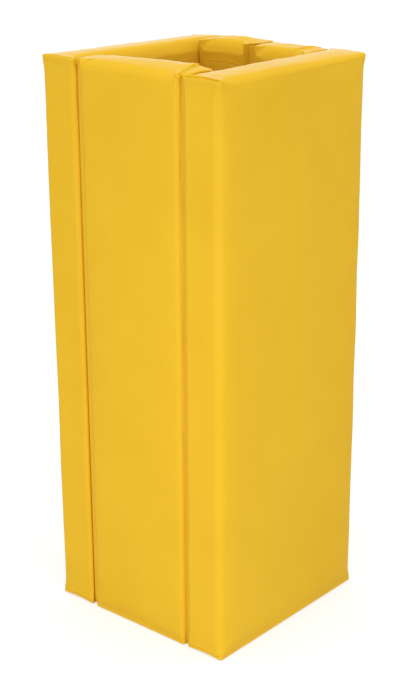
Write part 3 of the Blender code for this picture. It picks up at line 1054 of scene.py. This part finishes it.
def make_closure():
    deep, lip = STRIP_RECESS + STRIP_REACH, STRIP_RECESS + STRIP_LIP
    loop_off = TAPE_FIT + TAPE_THICKNESS / 2
    hook_off = loop_off + TAPE_THICKNESS + TAPE_FIT
    strip_off = hook_off + TAPE_THICKNESS / 2 + TAPE_FIT + STRIP_THICKNESS / 2
    levels = rise(TAPE_MARGIN, PAD_HEIGHT - TAPE_MARGIN)
    for name, off, body in (("loop_tape", loop_off, "rear_right_panel"),
                            ("hook_tape", hook_off, "rear_left_panel")):
        path = [slope_point(RIGHT_HALF, depth, off) for depth in (deep - TAPE_WIDTH, deep)]
        tape = strip(name + "_woven", path, TAPE_THICKNESS, levels, TAPE)
        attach(tape, body)
        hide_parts(name)
    sewn = TAPE_FIT + STRIP_THICKNESS / 2
    stood = sewn + STRIP_STAND
    left = [(deep, sewn), (STRIP_RECESS, sewn)]
    right = [(STRIP_RECESS, stood), (lip, stood), (lip + STRIP_STEP_IN, strip_off),
             (deep, strip_off)]
    path = [slope_point(LEFT_HALF, *place) for place in left]
    path += [slope_point(RIGHT_HALF, *place) for place in right]
    cover = strip("closing_strip_vinyl", rounded_path(path, STRIP_ROUND), STRIP_THICKNESS,
                  rise(STRIP_BOTTOM, STRIP_TOP), WEB_VINYL)
    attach(cover, "rear_left_panel")
    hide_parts("closing_strip")


# Linings on the column's side


LINING_THICKNESS = 0.0009
LINING_FIT = 0.0003
LINING_FACE = FORM_DEPTH + LINING_FIT + LINING_THICKNESS
LINING_MARGIN, LINING_END_MARGIN = 0.011, 0.036
LINING_BOTTOM, LINING_TOP = LINING_END_MARGIN, PAD_HEIGHT - LINING_END_MARGIN
LINING_ROUND, ROUND_STEPS = 0.008, 6
LINING_STEP = 0.008
STITCH_INSET = 0.0035
STITCH_DENT, STITCH_SINK = 0.0011, 0.00045
STITCH_PITCH, STITCH_LENGTH, STITCH_RADIUS = 0.0062, 0.0042, 0.00034
STITCH_FACE = LINING_FACE - 0.00030
STITCH_SIDES = 6

# How far in from its edge each ring of a lining's points is
LINING_RINGS = (0.0, 0.0012, 0.0024, STITCH_INSET, 0.0046, 0.0060, 0.010, 0.020, 0.034)

# A stitch's sections, as (share of its length, share of its radius, how far out it stands)
STITCH_SECTIONS = ((-0.5, 0.25, -0.0003), (-0.36, 0.9, 0.0), (0.36, 0.9, 0.0),
                   (0.5, 0.25, -0.0003))

BUTT_BARE = LINING_MARGIN + COVER_INNER_FACE - BUTT_GAP - COLUMN_SIDE / 2
SIDE_BARE = LINING_MARGIN + FOAM_DEPTH
LEAF_FAR = LEAF_WIDTH - CAD_SLOPE - LINING_MARGIN
LINING_SPANS = {
    "front": (BUTT_BARE, FRONT_WIDTH - BUTT_BARE),
    "left": (SIDE_BARE, SIDE_WIDTH - SIDE_BARE),
    "right": (SIDE_BARE, SIDE_WIDTH - SIDE_BARE),
    "rear_left": (LEAF_WIDTH - LEAF_FAR, LEAF_WIDTH - BUTT_BARE),
    "rear_right": (BUTT_BARE, LEAF_FAR),
}


def rounded_rectangle(low, high, inset, step):
    """Points round a lining's outline, moved in by an inset, about a step apart."""
    left, right = low + LINING_ROUND, high - LINING_ROUND
    bottom, top = LINING_BOTTOM + LINING_ROUND, LINING_TOP - LINING_ROUND
    radius = LINING_ROUND - inset
    line = []
    for u, z, turns in ((left, bottom, 2), (right, bottom, 3), (right, top, 0), (left, top, 1)):
        for k in range(ROUND_STEPS + 1):
            angle = QUARTER_TURN * (turns + k / ROUND_STEPS)
            line.append((u + radius * math.cos(angle), z + radius * math.sin(angle)))
    line = np.array([*line, line[0]])
    run = run_along(line)
    at = np.linspace(0, run[-1], int(run[-1] / step), endpoint=False)
    return np.column_stack([np.interp(at, run, column) for column in line.T])


def make_lining(panel, low, high):
    """The sheet that closes the cushion, its edge sunk a little by its stitches."""
    edge = rounded_rectangle(low, high, 0.0, LINING_STEP)
    size = np.array([high - low, LINING_TOP - LINING_BOTTOM])
    middle = np.array([low + high, LINING_TOP + LINING_BOTTOM]) / 2
    face = [(inset, LINING_FACE - STITCH_SINK * bell(inset - STITCH_INSET, STITCH_DENT))
            for inset in reversed(LINING_RINGS)]
    back = [(inset, LINING_FACE - LINING_THICKNESS) for inset in LINING_RINGS]
    rings = []
    for inset, v in face + back:
        flat = middle + (edge - middle) * (1 - 2 * inset / size)
        rings.append(np.insert(flat, 1, v, axis=1))
    points = to_world(panel, np.concatenate(rings))
    faces = closed_tube(numbered(len(edge), len(rings)))
    lining = new_object(panel.name + "_lining_sheet", points, faces, LINING_VINYL)
    lining.data.set_sharp_from_angle(angle=STRIP_SHARP)
    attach(lining, panel.name + "_panel")
    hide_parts(panel.name + "_lining")
    thread = make_stitches(panel, low, high)


def make_stitches(panel, low, high):
    seats = rounded_rectangle(low, high, STITCH_INSET, STITCH_PITCH)
    ways = unit(np.roll(seats, -1, axis=0) - np.roll(seats, 1, axis=0))
    points, faces = [], []
    for seat, way, across in zip(seats, ways, left_of(ways)):
        faces += closed_tube(numbered(STITCH_SIDES, len(STITCH_SECTIONS), len(points))[::-1])
        for along, thick, out in STITCH_SECTIONS:
            centre = seat + way * along * STITCH_LENGTH
            for k in range(STITCH_SIDES):
                angle, radius = 2 * math.pi / STITCH_SIDES * k, STITCH_RADIUS * thick
                u, z = centre + across * math.cos(angle) * radius
                points.append((u, STITCH_FACE + out + math.sin(angle) * radius, z))
    thread = new_object(panel.name + "_lining_stitches", to_world(panel, np.array(points)), faces,
                        THREAD)
    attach(thread, panel.name + "_panel")
    return thread


# The photograph's camera, fitted to the pad's corners


PHOTO_HEIGHT = 700
CAMERA_FOCAL_PIXELS = 1494.2
CAMERA_AZIMUTH = math.radians(40.628)
CAMERA_ELEVATION = math.radians(19.915)
CAMERA_ROLL = math.radians(-0.283)
CAMERA_DISTANCE = 2.848
CAMERA_TARGET = (-0.0041, 0.0, 0.5049)
SENSOR_MILLIMETRES = 36.0


def add_camera():
    data = bpy.data.cameras.new("camera")
    data.sensor_width = SENSOR_MILLIMETRES
    data.lens = CAMERA_FOCAL_PIXELS / PHOTO_HEIGHT * SENSOR_MILLIMETRES
    camera = add_object("camera", data)
    place = Matrix.Translation(CAMERA_TARGET) @ Matrix.Rotation(CAMERA_AZIMUTH, 4, "Z")
    place @= Matrix.Rotation(QUARTER_TURN - CAMERA_ELEVATION, 4, "X")
    place @= Matrix.Rotation(CAMERA_ROLL, 4, "Z")
    camera.matrix_world = place @ Matrix.Translation((0, 0, CAMERA_DISTANCE))
    bpy.context.scene.camera = camera


# Stage: a white room and floor, and three soft boxes


# A lamp's azimuth runs in degrees from the front, -Y, towards the right side, +X. It stands
# above the floor at a height and is turned to the pad's axis at aim.
Lamp = namedtuple("Lamp", "name azimuth distance height aim size watts")
LAMPS = (
    Lamp("left_box", 9.0, 1.75, 0.46, 0.46, (0.34, 0.9), 5.2),
    Lamp("right_box", 62.0, 1.75, 0.46, 0.46, (0.11, 0.9), 6.2),
    Lamp("top_box", 40.0, 0.20, 3.0, 0.5, (1.3, 1.3), 12.0),
)
FLOOR_RADIUS, FLOOR_SIDES = 14.0, 96
FLOOR_WHITE = (0.52, 0.52, 0.52, 1)
FLOOR_ROUGHNESS = 0.9
FLOOR_GLOW = 0.56
ROOM_LIGHT, ROOM_WHITE = 0.87, 1.0
WHITE = (1, 1, 1, 1)


def add_lamp(lamp):
    turn = math.radians(lamp.azimuth)
    data = bpy.data.lights.new(lamp.name, "AREA")
    data.shape = "RECTANGLE"
    data.size, data.size_y = lamp.size
    data.energy = lamp.watts
    box = add_object(lamp.name, data)
    box.visible_camera = False
    place = Vector((math.sin(turn) * lamp.distance, -math.cos(turn) * lamp.distance, lamp.height))
    box.location = place
    box.rotation_euler = (Vector((0, 0, lamp.aim)) - place).to_track_quat("-Z", "Y").to_euler()


def seen_rays(tree):
    """1 for camera, glossy and transmission rays, 0 for the rays that light things."""
    path = node(tree, "ShaderNodeLightPath")
    value = path.outputs["Is Camera Ray"]
    for name in ("Is Glossy Ray", "Is Transmission Ray"):
        most = node(tree, "ShaderNodeMath", operation="MAXIMUM")
        tree.links.new(value, most.inputs[0])
        tree.links.new(path.outputs[name], most.inputs[1])
        value = most.outputs[0]
    return value


def add_floor():
    """White paper that takes the pad's shadow, with a glow that only seen rays meet."""
    material, tree, paper = new_material("floor_look")
    set_inputs(paper, {"Base Color": FLOOR_WHITE, "Roughness": FLOOR_ROUGHNESS})
    glow = node(tree, "ShaderNodeEmission", {"Color": WHITE})
    share = node(tree, "ShaderNodeMath", {1: FLOOR_GLOW}, operation="MULTIPLY")
    tree.links.new(seen_rays(tree), share.inputs[0])
    tree.links.new(share.outputs[0], glow.inputs["Strength"])
    total = node(tree, "ShaderNodeAddShader")
    tree.links.new(paper.outputs[0], total.inputs[0])
    tree.links.new(glow.outputs[0], total.inputs[1])
    tree.links.new(total.outputs[0], tree.nodes["Material Output"].inputs["Surface"])
    turns = np.linspace(0, 2 * math.pi, FLOOR_SIDES, endpoint=False)
    edge = FLOOR_RADIUS * np.column_stack([np.cos(turns), np.sin(turns), np.zeros(FLOOR_SIDES)])
    new_object("floor", edge, [range(FLOOR_SIDES)], material)


def set_world():
    world = bpy.data.worlds.new("studio")
    bpy.context.scene.world = world
    world.use_nodes = True
    tree = world.node_tree
    back = tree.nodes["Background"]
    set_inputs(back, {"Color": WHITE})
    level = node(tree, "ShaderNodeMapRange", {"To Min": ROOM_LIGHT, "To Max": ROOM_WHITE})
    tree.links.new(seen_rays(tree), level.inputs["Value"])
    tree.links.new(level.outputs["Result"], back.inputs["Strength"])


make_cushions()
for web in WEBS:
    make_web(web)
make_closure()
for panel in PANELS:
    make_lining(panel, *LINING_SPANS[panel.name])

add_camera()
add_floor()
set_world()
for lamp in LAMPS:
    add_lamp(lamp)
bpy.context.scene.view_settings.view_transform = "Standard"
